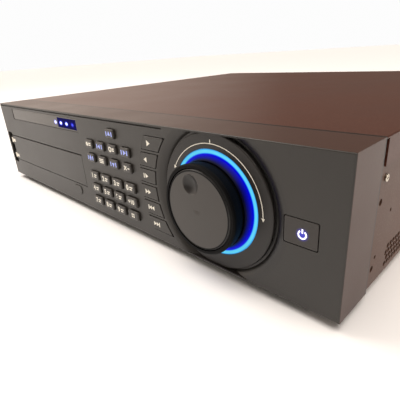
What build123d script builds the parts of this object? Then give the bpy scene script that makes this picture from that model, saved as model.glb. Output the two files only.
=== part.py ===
"""A two-unit rack video recorder with a jog and shuttle dial, built as separate pieces.

Millimetres. +X is to the right and -Y is the front when one faces the recorder, +Z is up.
The origin is on the surface it stands on, under the middle of the case.
"""

import os
from math import cos, radians, sin, sqrt

from build123d import *

os.makedirs("parts", exist_ok=True)

# ---------------------------------------------------------------- driving dimensions
body_width = 440.0
body_height = 89.0
body_depth = 440.0
foot_height = 6.0

bezel_depth = 33.0
bezel_wall = 2.5
face_wall = 4.0
sheet = 1.2
cover_sheet = 1.0

dial_x = 135.0
dish_radius = 53.0
dish_floor_radius = 45.6
dish_depth = 4.2
dish_rim = 1.2
knob_height = 12.6

key_gap = 0.35
key_travel = 1.0

# ---------------------------------------------------------------- worked out from them
half_width = body_width / 2
base_z = foot_height
top_z = base_z + body_height
mid_z = base_z + body_height / 2
front_y = -body_depth / 2
back_y = body_depth / 2
bezel_back_y = front_y + bezel_depth
face_back_y = front_y + face_wall
dish_floor_y = front_y + dish_depth
dial_z = mid_z
dial_axis = Axis((dial_x, 0, dial_z), (0, 1, 0))
chassis_half = half_width - 1.2
chassis_front_y = bezel_back_y + 0.1
rear_panel_y = back_y - sheet
board_y = front_y + 15.0


def facing(y):
    """The upright plane at depth y that faces the front: local x is +X and local y is +Z."""
    return Plane.XZ.offset(-y)


def facing_back(y):
    """The upright plane at depth y that faces the back: local x is -X and local y is +Z."""
    return Plane(origin=(0, y, 0), x_dir=(-1, 0, 0), z_dir=(0, 1, 0))


def save(builder, name):
    builder.part.label = name
    export_step(builder.part, f"parts/{name}.step")


def at_dial(radius_and_y):
    """Points of a profile given as radius from the dial's axis and depth."""
    return [(dial_x + r, y) for r, y in radius_and_y]


# ---------------------------------------------------------------- front panel layout
# Heights are above the bottom of the case, x is from its middle.
column_x = [-5.5, 12.5, 30.5, 48.5]
row_z = [base_z + h for h in (77.3, 65.0, 52.9, 36.6, 24.8, 13.0)]
small_key = (11.6, 7.6)
wide_key = (14.0, 7.8)
keypad = [
    ("key_up", 2, 0, small_key),
    ("key_record", 0, 1, small_key),
    ("key_left", 1, 1, small_key),
    ("key_enter", 2, 1, small_key),
    ("key_right", 3, 1, small_key),
    ("key_shift", 0, 2, small_key),
    ("key_function", 1, 2, small_key),
    ("key_down", 2, 2, small_key),
    ("key_escape", 3, 2, small_key),
    ("number_key_1", 0, 3, wide_key),
    ("number_key_2", 1, 3, wide_key),
    ("number_key_3", 2, 3, wide_key),
    ("number_key_0", 3, 3, wide_key),
    ("number_key_4", 0, 4, wide_key),
    ("number_key_5", 1, 4, wide_key),
    ("number_key_6", 2, 4, wide_key),
    ("key_plus_ten", 3, 4, wide_key),
    ("number_key_7", 0, 5, wide_key),
    ("number_key_8", 1, 5, wide_key),
    ("number_key_9", 2, 5, wide_key),
    ("key_split_view", 3, 5, wide_key),
]
transport_names = ["play_key", "reverse_key", "slow_key", "fast_key", "previous_key", "next_key"]
transport_inner = 53.8
transport_outer = 71.0
transport_height = 9.8
transport_pitch = 12.4
transport_z = [mid_z + transport_pitch * (2.5 - i) for i in range(len(transport_names))]

power_x, power_z = 196.3, mid_z
power_size = (19.0, 14.8)

strip_x = (-182.0, -25.0)
strip_z = (base_z + 72.5, base_z + 84.5)
led_x = [-68.0, -56.5, -45.0, -33.5]
led_z = base_z + 78.2

release_x, release_z = -46.5, base_z + 14.3
release_size = (16.0, 8.4)

door_x = (-204.0, -27.0)
door_z = (base_z + 21.0, base_z + 51.5)
door_panel_z = (door_z[0], door_z[1] - 0.7)
door_thickness = 2.6
door_gap = 0.45
door_ledge = 2.0
hinge_x, hinge_y = -207.0, front_y + 1.9
hinge_z = [base_z + 26.0, base_z + 45.0]
hinge_barrel = (2.3, 6.0)
hinge_pin_radius = 1.2
hinge_leaf = (7.0, 3.6)
running_gap = 0.05
pocket_x = (-216.0, door_x[0])
pocket_z = (base_z + 16.5, base_z + 54.5)
pocket_depth = 12.0
bay_floor_y = front_y + 21.0


def span(low_high):
    """The middle and the length of a span."""
    low, high = low_high
    return (low + high) / 2, high - low


def oblong(x_span, z_span, grow=0.0, radius=0.0, mode=Mode.ADD):
    """A rectangle from its two spans, grown on every side, with round corners if asked."""
    (mid_x, width), (mid_height, height) = span(x_span), span(z_span)
    with Locations((mid_x, mid_height)):
        if radius:
            RectangleRounded(width + 2 * grow, height + 2 * grow, radius, mode=mode)
        else:
            Rectangle(width + 2 * grow, height + 2 * grow, mode=mode)


def transport_outline(z, grow=0.0):
    """A transport key: level top and bottom, with both ends on circles round the dial."""
    with Locations((dial_x, z)):
        Rectangle(2 * transport_outer + 10, transport_height + 2 * grow)
    with Locations((dial_x, dial_z)):
        Circle(transport_outer + grow, mode=Mode.INTERSECT)
        Circle(transport_inner - grow, mode=Mode.SUBTRACT)
    with Locations((dial_x + 100, dial_z)):
        Rectangle(200, 2 * body_height, mode=Mode.SUBTRACT)


# ---------------------------------------------------------------- fixings
pilot_radius = 1.5
screw_radius = 1.45
screw_length = 7.0
head_radius, head_height = 2.1, 1.0
hole_radius = 1.7
post_spots = [
    (-200, top_z - 12),
    (-200, base_z + 7.5),
    (200, top_z - 12),
    (200, base_z + 12),
]
side_screw_z = base_z + 66.0
front_screw_y, rear_screw_y = front_y + 43.0, back_y - 20.0
ear_outer, ear_reach = chassis_half - sheet - 0.2, 17.0

# ---------------------------------------------------------------- front bezel
groove_end_x = 93.0
groove_depth = 1.6
strip_recess = 1.2

# round dish for the dial: its wall rolls over into the front, and it stops short of both edges
with BuildPart() as dish:
    with BuildSketch(Plane.XY.offset(dial_z)):
        with BuildLine():
            rim, foot = at_dial([(dish_radius, front_y), (dish_floor_radius, dish_floor_y)])
            TangentArc(rim, foot, tangent=(-1, 0))
            Polyline(foot, *at_dial([(0, dish_floor_y), (0, front_y - 2), (dish_radius, front_y - 2)]), rim)
        make_face()
    revolve(axis=dial_axis)
    with BuildSketch(facing(front_y - 3)):
        with Locations((dial_x, dial_z)):
            Rectangle(2 * dish_radius + 4, body_height - 2 * dish_rim)
    extrude(amount=-(dish_depth + 4), mode=Mode.INTERSECT)

with BuildPart() as front_bezel:
    with BuildSketch(facing(front_y)):
        with Locations((0, mid_z)):
            Rectangle(body_width, body_height)
    extrude(amount=-bezel_depth)
    fillet(front_bezel.faces().sort_by(Axis.Y)[0].edges(), radius=0.9)
    # hollow from behind, up to the front wall
    with BuildSketch(facing(bezel_back_y)):
        with Locations((0, mid_z)):
            Rectangle(body_width - 2 * bezel_wall, body_height - 2 * bezel_wall)
    extrude(amount=bezel_depth - face_wall, mode=Mode.SUBTRACT)
    # thick seat behind the dial's dish
    with BuildSketch(facing(face_back_y)):
        with Locations((dial_x, dial_z)):
            Circle(dish_radius - 3)
        with Locations((0, mid_z)):
            Rectangle(body_width - 2, body_height - 2, mode=Mode.INTERSECT)
    extrude(amount=-3.4)
    # walls of the bay behind the door and of the pocket for its hinges
    with BuildSketch(facing(face_back_y)):
        oblong(door_x, door_z)
    extrude(amount=-(bay_floor_y + 2 - face_back_y))
    with BuildSketch(facing(face_back_y)):
        oblong((pocket_x[0] - 2, pocket_x[1] + 2), pocket_z, grow=2.0)
    extrude(amount=-(pocket_depth + 2 - face_wall))
    add(dish.part, mode=Mode.SUBTRACT)
    with BuildSketch(facing(dish_floor_y)):
        with Locations((dial_x, dial_z)):
            Circle(34.3)
    extrude(amount=-8, mode=Mode.SUBTRACT)
    # key and button openings
    with BuildSketch(facing(front_y)):
        for _, column, row, (key_width, key_height) in keypad:
            with Locations((column_x[column], row_z[row])):
                RectangleRounded(key_width + 2 * key_gap, key_height + 2 * key_gap, 1.8 + key_gap)
        with Locations((power_x, power_z)):
            RectangleRounded(power_size[0] + 1, power_size[1] + 1, 1.0)
        with Locations((release_x, release_z)):
            SlotOverall(release_size[0] + 2 * key_gap, release_size[1] + 2 * key_gap)
    extrude(amount=-face_wall, mode=Mode.SUBTRACT)
    for z in transport_z:
        with BuildSketch(facing(front_y)):
            transport_outline(z, grow=0.5)
        extrude(amount=-face_wall, mode=Mode.SUBTRACT)
    # seat of the long window strip, and the opening behind its lights
    with BuildSketch(facing(front_y)):
        oblong(strip_x, strip_z, grow=0.1, radius=1.0)
    extrude(amount=-strip_recess - 1.2, mode=Mode.SUBTRACT)
    with BuildSketch(facing(front_y)):
        oblong((led_x[0] - 6, led_x[-1] + 6), (led_z - 4, led_z + 4))
    extrude(amount=-face_wall, mode=Mode.SUBTRACT)
    # shadow groove under the top edge
    with BuildSketch(facing(front_y)):
        oblong((-half_width + 2, groove_end_x), (top_z - 2.6, top_z - 1.4))
    extrude(amount=-groove_depth, mode=Mode.SUBTRACT)
    # door seat, hinge pocket and bay
    with BuildSketch(facing(front_y)):
        oblong(door_x, door_z, grow=door_gap)
    extrude(amount=-door_thickness - 0.7, mode=Mode.SUBTRACT)
    with BuildSketch(facing(front_y)):
        oblong(door_x, door_z, grow=-door_ledge)
    extrude(amount=-(bay_floor_y - front_y), mode=Mode.SUBTRACT)
    with BuildSketch(facing(front_y)):
        oblong((pocket_x[0], pocket_x[1] + 0.1), pocket_z, radius=1.2)
    extrude(amount=-pocket_depth, mode=Mode.SUBTRACT)
    # two hinge forks with moulded pins
    for z in hinge_z:
        fork_half = hinge_barrel[1] / 2 + 0.15
        for side in (-1, 1):
            with BuildSketch(Plane.XY.offset(z + side * (fork_half + 0.9))):
                with Locations((hinge_x, (hinge_y + front_y + pocket_depth) / 2)):
                    Rectangle(3.6, front_y + pocket_depth - hinge_y)
                with Locations((hinge_x, hinge_y)):
                    Circle(1.8)
            extrude(amount=0.9, both=True)
        with BuildSketch(Plane.XY.offset(z)):
            with Locations((hinge_x, hinge_y)):
                Circle(hinge_pin_radius)
        extrude(amount=fork_half + 0.5, both=True)
    # four hollow posts that take the case screws from the chassis
    with BuildSketch(facing(bezel_back_y)):
        with Locations(post_spots):
            Circle(4)
            Circle(pilot_radius, mode=Mode.SUBTRACT)
    extrude(amount=bezel_depth - face_wall)
    # an ear on each side that reaches into the case and takes a side screw
    for side in (-1, 1):
        with BuildSketch(facing(bezel_back_y - 8)):
            with Locations((side * (ear_outer - 1), side_screw_z)):
                Rectangle(4.4, 12)
        extrude(amount=-8)
        with BuildSketch(facing(bezel_back_y)):
            with Locations((side * (ear_outer - 1.6), side_screw_z)):
                Rectangle(3.2, 12)
        extrude(amount=-ear_reach)
    with BuildSketch(Plane.YZ.offset(-half_width + bezel_wall)):
        with Locations((front_screw_y, side_screw_z)):
            Circle(pilot_radius)
    extrude(amount=body_width - 2 * bezel_wall, mode=Mode.SUBTRACT)
    # sockets behind the door come through the bay's floor
    with BuildSketch(facing(bay_floor_y)):
        with Locations((-150, door_z[0] + 15.2), (-120, door_z[0] + 15.2)):
            Rectangle(13.6, 6.2)
    extrude(amount=-4, mode=Mode.SUBTRACT)
save(front_bezel, "front_bezel")

# ---------------------------------------------------------------- window strip and its lights
with BuildPart() as window_strip:
    with BuildSketch(facing(front_y + 0.3)):
        oblong(strip_x, strip_z, radius=0.9)
    extrude(amount=-(strip_recess + 1.2 - 0.35))
    fillet(window_strip.faces().sort_by(Axis.Y)[0].edges(), radius=0.4)
save(window_strip, "window_strip")

with BuildPart() as status_leds:
    with BuildSketch(facing(front_y + 3.0)):
        with Locations([(x, led_z) for x in led_x]):
            Circle(1.5)
    extrude(amount=-(board_y - front_y - 3.0))
save(status_leds, "status_leds")

# ---------------------------------------------------------------- keys
key_proud = 2.2
flush_proud = 0.5
flange_y = face_back_y + 0.3
flange_depth = 1.8
stem_y = flange_y + flange_depth
stem_end_y = board_y - 4.8


def transport_stem_x(z):
    """Where a transport key's stem goes: halfway across the key."""
    middle = (transport_inner + transport_outer) / 2
    return dial_x - sqrt(middle**2 - (z - dial_z) ** 2)


for name, column, row, (key_width, key_height) in keypad:
    key_spot = (column_x[column], row_z[row])
    with BuildPart() as key:
        with BuildSketch(facing(front_y - key_proud)):
            with Locations(key_spot):
                RectangleRounded(key_width, key_height, 1.8)
        extrude(amount=-(flange_y + 0.2 - front_y + key_proud))
        fillet(key.faces().sort_by(Axis.Y)[0].edges(), radius=1.1)
        with BuildSketch(facing(flange_y)):
            with Locations(key_spot):
                Rectangle(key_width + 1.8, key_height + 1.8)
        extrude(amount=-flange_depth)
        with BuildSketch(facing(stem_y)):
            with Locations(key_spot):
                Rectangle(3.0, 3.0)
        extrude(amount=-(stem_end_y - stem_y))
    save(key, name)

for name, z in zip(transport_names, transport_z):
    with BuildPart() as key:
        with BuildSketch(facing(front_y - flush_proud)):
            transport_outline(z)
        extrude(amount=-(flange_y + 0.2 - front_y + flush_proud))
        fillet(key.edges().filter_by(Axis.Y), radius=0.8)
        fillet(key.faces().sort_by(Axis.Y)[0].edges(), radius=0.35)
        with BuildSketch(facing(flange_y)):
            transport_outline(z, grow=0.9)
        extrude(amount=-flange_depth)
        with BuildSketch(facing(stem_y)):
            with Locations((transport_stem_x(z), z)):
                Rectangle(3.0, 3.0)
        extrude(amount=-(stem_end_y - stem_y))
    save(key, name)

with BuildPart() as power_button:
    with BuildSketch(facing(front_y - 0.2)):
        with Locations((power_x, power_z)):
            RectangleRounded(*power_size, 0.8)
    extrude(amount=-(flange_y + 0.4 - front_y))
    fillet(power_button.faces().sort_by(Axis.Y)[0].edges(), radius=0.3)
    with BuildSketch(facing(flange_y)):
        with Locations((power_x, power_z)):
            Rectangle(power_size[0] + 2.2, power_size[1] + 2.2)
    extrude(amount=-flange_depth)
    with BuildSketch(facing(stem_y)):
        with Locations((power_x, power_z)):
            Rectangle(3.0, 3.0)
    extrude(amount=-(stem_end_y - stem_y))
save(power_button, "power_button")

with BuildPart() as door_release:
    with BuildSketch(facing(front_y - 0.7)):
        with Locations((release_x, release_z)):
            SlotOverall(*release_size)
    extrude(amount=-(flange_y + 0.9 - front_y))
    fillet(door_release.faces().sort_by(Axis.Y)[0].edges(), radius=0.6)
    with BuildSketch(facing(flange_y)):
        with Locations((release_x, release_z)):
            SlotOverall(release_size[0] + 2, release_size[1] + 2)
    extrude(amount=-flange_depth)
    with BuildSketch(facing(stem_y)):
        with Locations((release_x, release_z)):
            Rectangle(6.0, 3.0)
    extrude(amount=-(stem_end_y - stem_y))
save(door_release, "door_release")

# ---------------------------------------------------------------- dial
surround_y = front_y + 1.6
surround_radius = 44.2
ring_y = front_y + 1.8
ring_outer, ring_inner = 34.0, 30.0
dish_seat_y = face_back_y + 3.4
cone_front_radius, cone_front_y = 28.1, front_y - 2.2
jog_radius = 25.5
shuttle_radius = 28.5
knob_front_y = front_y - knob_height
dimple_x, dimple_z = dial_x - 4.2, dial_z + 15.7
dimple_radius, dimple_depth = 6.5, 2.6
shaft_radius = 3.0
sleeve_radius = 7.0

with BuildPart() as dial_surround:
    with BuildSketch(facing(surround_y)):
        with Locations((dial_x, dial_z)):
            Circle(surround_radius)
            Circle(ring_outer + 0.25, mode=Mode.SUBTRACT)
    extrude(amount=-(dish_floor_y - surround_y))
    fillet(dial_surround.faces().sort_by(Axis.Y)[0].edges().sort_by(SortBy.LENGTH)[-1], radius=1.0)
    # level at the top and bottom, like the dish
    with BuildSketch(facing(surround_y - 1)):
        with Locations((dial_x, dial_z)):
            Rectangle(2 * surround_radius + 4, body_height - 2 * dish_rim - 0.4)
    extrude(amount=-(dish_floor_y - surround_y + 2), mode=Mode.INTERSECT)
save(dial_surround, "dial_surround")

with BuildPart() as light_ring:
    with BuildSketch(Plane.XY.offset(dial_z)):
        with BuildLine():
            Polyline(
                *at_dial([
                    (ring_outer, ring_y),
                    (ring_inner, ring_y),
                    (cone_front_radius, cone_front_y),
                    (cone_front_radius - 0.6, cone_front_y),
                    (cone_front_radius - 0.6, dish_seat_y + 1.2),
                    (36.0, dish_seat_y + 1.2),
                    (36.0, dish_seat_y),
                    (ring_outer, dish_seat_y),
                ]),
                close=True,
            )
        make_face()
    revolve(axis=dial_axis)
save(light_ring, "light_ring")

with BuildPart() as shuttle_ring:
    with BuildSketch(Plane.XY.offset(dial_z)):
        with BuildLine():
            outer = [
                (26.9, front_y + 0.5),
                (26.9, front_y - 2.6),
                (27.9, front_y - 4.4),
                (28.2, knob_front_y + 2.6),
                (28.0, knob_front_y + 2.3),
                (28.0, knob_front_y + 1.9),
                (shuttle_radius, knob_front_y + 1.6),
                (shuttle_radius, knob_front_y + 1.0),
                (shuttle_radius - 0.8, knob_front_y + 0.3),
                (jog_radius + 0.5, knob_front_y + 0.3),
            ]
            inner = [
                (jog_radius + 0.5, knob_front_y + 8.6),
                (shaft_radius + running_gap, knob_front_y + 8.6),
                (shaft_radius + running_gap, board_y - 1.7),
                (sleeve_radius, board_y - 1.7),
                (sleeve_radius, knob_front_y + 10.4),
                (25.0, knob_front_y + 10.4),
                (25.0, front_y + 0.5),
            ]
            Polyline(*at_dial(outer + inner), close=True)
        make_face()
    revolve(axis=dial_axis)
save(shuttle_ring, "shuttle_ring")

with BuildPart() as jog_dial:
    with BuildSketch(Plane.XY.offset(dial_z)):
        with BuildLine():
            Polyline(
                *at_dial([
                    (0, knob_front_y),
                    (jog_radius - 0.6, knob_front_y + 0.15),
                    (jog_radius, knob_front_y + 0.7),
                    (jog_radius, knob_front_y + 8.2),
                    (shaft_radius, knob_front_y + 8.2),
                    (shaft_radius, board_y - 1.4),
                    (0, board_y - 1.4),
                ]),
                close=True,
            )
        make_face()
    revolve(axis=dial_axis)
    # round fingertip dimple
    ball = (dimple_radius**2 + dimple_depth**2) / (2 * dimple_depth)
    with Locations((dimple_x, knob_front_y + dimple_depth - ball, dimple_z)):
        Sphere(ball, mode=Mode.SUBTRACT)
save(jog_dial, "jog_dial")

with BuildPart() as dial_encoder:
    with BuildSketch(facing(front_y + 9.0)):
        with Locations((dial_x, dial_z)):
            RectangleRounded(32, 32, 3)
            Circle(sleeve_radius + running_gap, mode=Mode.SUBTRACT)
    extrude(amount=-(board_y - 1.0 - front_y - 9.0))
    with BuildSketch(facing(board_y - 1.0)):
        with Locations((dial_x, dial_z)):
            RectangleRounded(32, 32, 3)
    extrude(amount=-1.0)
save(dial_encoder, "dial_encoder")

# ---------------------------------------------------------------- front circuit board with its switches
board_thickness = 1.6
switch_spots = [(column_x[column], row_z[row]) for _, column, row, _ in keypad]
switch_spots += [(transport_stem_x(z), z) for z in transport_z]
switch_spots += [(power_x, power_z)]

with BuildPart() as front_board:
    with BuildSketch(facing(board_y)):
        oblong((-22, 212), (base_z + 4, top_z - 4))
        oblong((-72, -20), (top_z - 26, top_z - 4))
        with Locations(post_spots[2:]):
            Circle(5, mode=Mode.SUBTRACT)
    extrude(amount=-board_thickness)
    with BuildSketch(facing(board_y)):
        with Locations(switch_spots):
            Rectangle(6, 6)
    extrude(amount=3.4)
save(front_board, "front_board")

# ---------------------------------------------------------------- door in the front
with BuildPart() as drive_door:
    with BuildSketch(facing(front_y)):
        oblong(door_x, door_panel_z, radius=0.8)
    extrude(amount=-door_thickness)
    fillet(drive_door.faces().sort_by(Axis.Y)[0].edges(), radius=0.4)
    # shallow seats for the hinge leaves
    with BuildSketch(facing(front_y)):
        with Locations([(door_x[0], z) for z in hinge_z]):
            Rectangle(2 * hinge_leaf[0] + 0.4, hinge_leaf[1] + 0.4)
    extrude(amount=-0.6, mode=Mode.SUBTRACT)
    # stiffening rib behind
    with BuildSketch(facing(front_y + door_thickness)):
        oblong(door_x, door_z, grow=-4.5)
        oblong(door_x, door_z, grow=-6.0)
    extrude(amount=-2.0)
    with BuildSketch(facing(front_y + door_thickness)):
        oblong(door_x, door_z, grow=-6.0)
    extrude(amount=-2.0, mode=Mode.SUBTRACT)
save(drive_door, "drive_door")

with BuildPart() as door_hinges:
    for z in hinge_z:
        with BuildSketch(Plane.XY.offset(z)):
            with Locations((hinge_x, hinge_y)):
                Circle(hinge_barrel[0])
        extrude(amount=hinge_barrel[1] / 2, both=True)
    with BuildSketch(facing(front_y + 0.0)):
        for z in hinge_z:
            oblong((hinge_x, door_x[0] + hinge_leaf[0]), (z - hinge_leaf[1] / 2, z + hinge_leaf[1] / 2))
    extrude(amount=-0.6)
    for z in hinge_z:
        with BuildSketch(Plane.XY.offset(z)):
            with Locations((hinge_x, hinge_y)):
                Circle(hinge_pin_radius + running_gap)
        extrude(amount=hinge_barrel[1], both=True, mode=Mode.SUBTRACT)
save(door_hinges, "door_hinges")


def usb_socket(x, z, mouth, depth=14.0):
    """One receptacle: a folded steel shell, a back wall and a plastic tongue."""
    with BuildPart() as socket:
        with BuildSketch(mouth):
            with Locations((x, z)):
                Rectangle(13.1, 5.7)
                Rectangle(12.3, 4.9, mode=Mode.SUBTRACT)
        extrude(amount=-depth)
        with BuildSketch(mouth.offset(1.5 - depth)):
            with Locations((x, z)):
                Rectangle(13.1, 5.7)
        extrude(amount=-1.5)
        with BuildSketch(mouth.offset(-1.2)):
            with Locations((x, z + 1.0)):
                Rectangle(11.0, 1.8)
        extrude(amount=-(depth - 2.0))
    return socket.part


usb_z = door_z[0] + 15.2
usb_x = [-150, -120]

with BuildPart() as front_usb_sockets:
    for x in usb_x:
        add(usb_socket(x, usb_z, facing(bay_floor_y - 1.5)))
save(front_usb_sockets, "front_usb_sockets")

# ---------------------------------------------------------------- chassis
vent_flat = 3.5
vent_pitch = 4.5
vent_rows = [base_z + h for h in (5.0, 8.9, 12.8, 16.7)]
vent_start_y = front_y + 62.0
vent_count = 62
ear_holes = [(front_y + 40.3, base_z + 12.0), (front_y + 40.3, base_z + 53.0)]
ear_hole_radius = 2.0
spare_holes = [(front_y + 43.3, base_z + 18.6), (front_y + 59.0, base_z + 42.3)]
chassis_top_z = top_z - cover_sheet - 0.1
chassis_back_y = rear_panel_y - 0.05
foot_spots = [(x, y) for x in (-185, 185) for y in (front_y + 62, back_y - 40)]
board_posts = [(x, y) for x in (52, 206) for y in (-50, 70, 190)]
main_board_z = base_z + 7.2
fan_x = [20.0, -44.0]
fan_z = mid_z
fan_size, fan_depth = 60.0, 20.0
fan_front_y = rear_panel_y - fan_depth

with BuildPart() as chassis_base:
    with BuildSketch(facing(chassis_front_y)):
        oblong((-chassis_half, chassis_half), (base_z, chassis_top_z))
        inner = (sheet - chassis_half, chassis_half - sheet)
        oblong(inner, (base_z + sheet, top_z), mode=Mode.SUBTRACT)
    extrude(amount=-(chassis_back_y - chassis_front_y))
    # front wall with windows for the leads, notches for the bezel's ears and screw holes
    with BuildSketch(facing(chassis_front_y)):
        oblong((-chassis_half, chassis_half), (base_z, chassis_top_z))
        for x in (-140, 0, 140):
            oblong((x - 35, x + 35), (mid_z - 16, mid_z + 16), mode=Mode.SUBTRACT)
        with Locations((-chassis_half, side_screw_z), (chassis_half, side_screw_z)):
            Rectangle(2 * (chassis_half - ear_outer + 3.6), 13, mode=Mode.SUBTRACT)
        with Locations(post_spots):
            Circle(hole_radius, mode=Mode.SUBTRACT)
    extrude(amount=-sheet)
    # the notches do not reach through the side walls
    with BuildSketch(Plane.YZ.offset(-chassis_half)):
        with Locations((chassis_front_y + 5, side_screw_z)):
            Rectangle(10, 20)
    extrude(amount=sheet)
    with BuildSketch(Plane.YZ.offset(chassis_half)):
        with Locations((chassis_front_y + 5, side_screw_z)):
            Rectangle(10, 20)
    extrude(amount=-sheet)
    # hexagonal vents, ear holes, spare holes and screw holes in both sides
    with BuildSketch(Plane.YZ.offset(-half_width)):
        for number, z in enumerate(vent_rows):
            shift = vent_pitch / 2 * (number % 2)
            with Locations([(vent_start_y + shift + vent_pitch * i, z) for i in range(vent_count)]):
                RegularPolygon(vent_flat / 2, 6, major_radius=False, rotation=30)
        with Locations(ear_holes):
            Circle(ear_hole_radius)
        with Locations(spare_holes):
            Circle(1.2)
        with Locations((front_screw_y, side_screw_z), (rear_screw_y, side_screw_z)):
            Circle(hole_radius)
    extrude(amount=body_width, mode=Mode.SUBTRACT)
    # posts for the main board
    with BuildSketch(Plane.XY.offset(base_z + sheet)):
        with Locations(board_posts):
            Circle(3)
    extrude(amount=main_board_z - base_z - sheet)
save(chassis_base, "chassis_base")

with BuildPart() as top_cover:
    with BuildSketch(Plane.XY.offset(top_z - cover_sheet)):
        with Locations((0, (bezel_back_y + 0.1 + back_y) / 2)):
            Rectangle(body_width, back_y - bezel_back_y - 0.1)
    extrude(amount=cover_sheet)
    # a narrow flange down each side
    flange_front_y = front_y + 37.0
    for side in (-1, 1):
        with BuildSketch(Plane.XY.offset(top_z - 15.5)):
            with Locations((side * (half_width - cover_sheet / 2), (flange_front_y + back_y) / 2)):
                Rectangle(cover_sheet, back_y - flange_front_y)
        extrude(amount=15.5)
    fillet(top_cover.edges().filter_by(Axis.Y).group_by(Axis.Z)[-1], radius=0.8)
    # a lip down the back
    with BuildSketch(facing(back_y + 0.05)):
        oblong((-205, 205), (top_z - 12, top_z))
    extrude(amount=-1.0)
    with BuildSketch(Plane.XY.offset(top_z - cover_sheet)):
        with Locations((0, back_y + 0.025)):
            Rectangle(410, 0.05)
    extrude(amount=cover_sheet)
    lip_screws = [(x, top_z - 6) for x in (-150, 0, 150)]
    with BuildSketch(facing(back_y)):
        with Locations(lip_screws):
            Circle(hole_radius)
    extrude(amount=-2, mode=Mode.SUBTRACT)
save(top_cover, "top_cover")


def screw(head_plane):
    """A pan head screw: the head stands on the plane and the shank goes through it."""
    with BuildPart() as fastener:
        with BuildSketch(head_plane):
            Circle(head_radius)
        extrude(amount=head_height)
        fillet(fastener.edges().group_by(SortBy.LENGTH)[-1], radius=0.3)
        with BuildSketch(head_plane):
            Circle(screw_radius)
        extrude(amount=-screw_length)
        with BuildSketch(head_plane.offset(head_height)):
            Rectangle(2.6, 0.55)
            Rectangle(0.55, 2.6)
        extrude(amount=-0.7, mode=Mode.SUBTRACT)
    return fastener.part


screw_planes = [
    Plane(origin=(side * chassis_half, y, side_screw_z), z_dir=(side, 0, 0))
    for side in (-1, 1)
    for y in (front_screw_y, rear_screw_y)
]
screw_planes += [Plane(origin=(x, chassis_front_y + sheet, z), z_dir=(0, 1, 0)) for x, z in post_spots]
screw_planes += [Plane(origin=(x, back_y + 1.05, z), z_dir=(0, 1, 0)) for x, z in lip_screws]

with BuildPart() as case_screws:
    for head_plane in screw_planes:
        add(screw(head_plane))
save(case_screws, "case_screws")

with BuildPart() as rubber_feet:
    with Locations([(x, y, foot_height / 2) for x, y in foot_spots]):
        Cone(9.0, 10.5, foot_height)
    fillet(rubber_feet.edges().group_by(Axis.Z)[0], radius=1.0)
save(rubber_feet, "rubber_feet")

# ---------------------------------------------------------------- back panel and its sockets
# Local x runs to the left of the recorder here, so positions are mirrored.
bnc_spots = [(204 - 14.5 * i, base_z + h) for h in (67, 47) for i in range(8)]
bnc_spots += [(84, base_z + 67), (84, base_z + 47)]
bnc_body, bnc_barrel = 5.6, 4.8
barrel_length = 12.6
rca_spots = [(x, base_z + h) for x in (203, 189) for h in (14.5, 28.5)]
vga_spot, hdmi_spot = (166, base_z + 16.5), (139, base_z + 12.5)
lan_spot = (119, base_z + 15.8)
usb_spots = [(97, base_z + 13.0), (97, base_z + 21.0)]
inlet_spot = (-168, base_z + 32)
inlet_size = (58.0, 26.0)
socket_gap = 0.3


def mirrored(spots):
    return [(-x, z) for x, z in spots]


with BuildPart() as rear_panel:
    with BuildSketch(facing_back(back_y)):
        oblong((-chassis_half, chassis_half), (base_z, chassis_top_z))
        with Locations(mirrored(bnc_spots)):
            Circle(bnc_body + 0.2, mode=Mode.SUBTRACT)
        with Locations(mirrored(rca_spots)):
            Circle(4.6, mode=Mode.SUBTRACT)
        with Locations(mirrored([vga_spot])):
            Rectangle(17.6, 9.6, mode=Mode.SUBTRACT)
        with Locations(mirrored([hdmi_spot])):
            Rectangle(15.6, 6.2, mode=Mode.SUBTRACT)
        with Locations(mirrored([lan_spot])):
            Rectangle(16.6, 14.2, mode=Mode.SUBTRACT)
        with Locations(mirrored(usb_spots)):
            Rectangle(13.7, 6.3, mode=Mode.SUBTRACT)
        with Locations(mirrored([inlet_spot])):
            Rectangle(inlet_size[0] - 5.4, inlet_size[1] - 3.4, mode=Mode.SUBTRACT)
        with Locations(mirrored(lip_screws)):
            Circle(hole_radius, mode=Mode.SUBTRACT)
        # slots over the power supply
        with Locations((152, base_z + 64)):
            with GridLocations(9, 0, 12, 1):
                SlotOverall(16, 3.4, rotation=90, mode=Mode.SUBTRACT)
        # finger grilles in front of the fans
        for x in fan_x:
            for hole_row in range(-5, 6):
                offset_x = 2.35 * (hole_row % 2)
                for hole_column in range(-6, 7):
                    hole_x = 4.7 * hole_column + offset_x
                    hole_z = 4.1 * hole_row
                    reach = sqrt(hole_x**2 + hole_z**2)
                    if 8 < reach < 25.5:
                        with Locations((-x + hole_x, fan_z + hole_z)):
                            RegularPolygon(2.0, 6, major_radius=False, mode=Mode.SUBTRACT)
            with Locations((-x, fan_z)):
                with GridLocations(50, 50, 2, 2):
                    Circle(2.2, mode=Mode.SUBTRACT)
    extrude(amount=-sheet)
    # folded ears inside the case for the rear side screws
    for side in (-1, 1):
        with BuildSketch(facing_back(rear_panel_y)):
            with Locations((side * (ear_outer - 0.6), side_screw_z)):
                Rectangle(1.2, 14)
        extrude(amount=-28)
    with BuildSketch(Plane.YZ.offset(-half_width)):
        with Locations((rear_screw_y, side_screw_z)):
            Circle(hole_radius)
    extrude(amount=body_width, mode=Mode.SUBTRACT)
save(rear_panel, "rear_panel")


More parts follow.
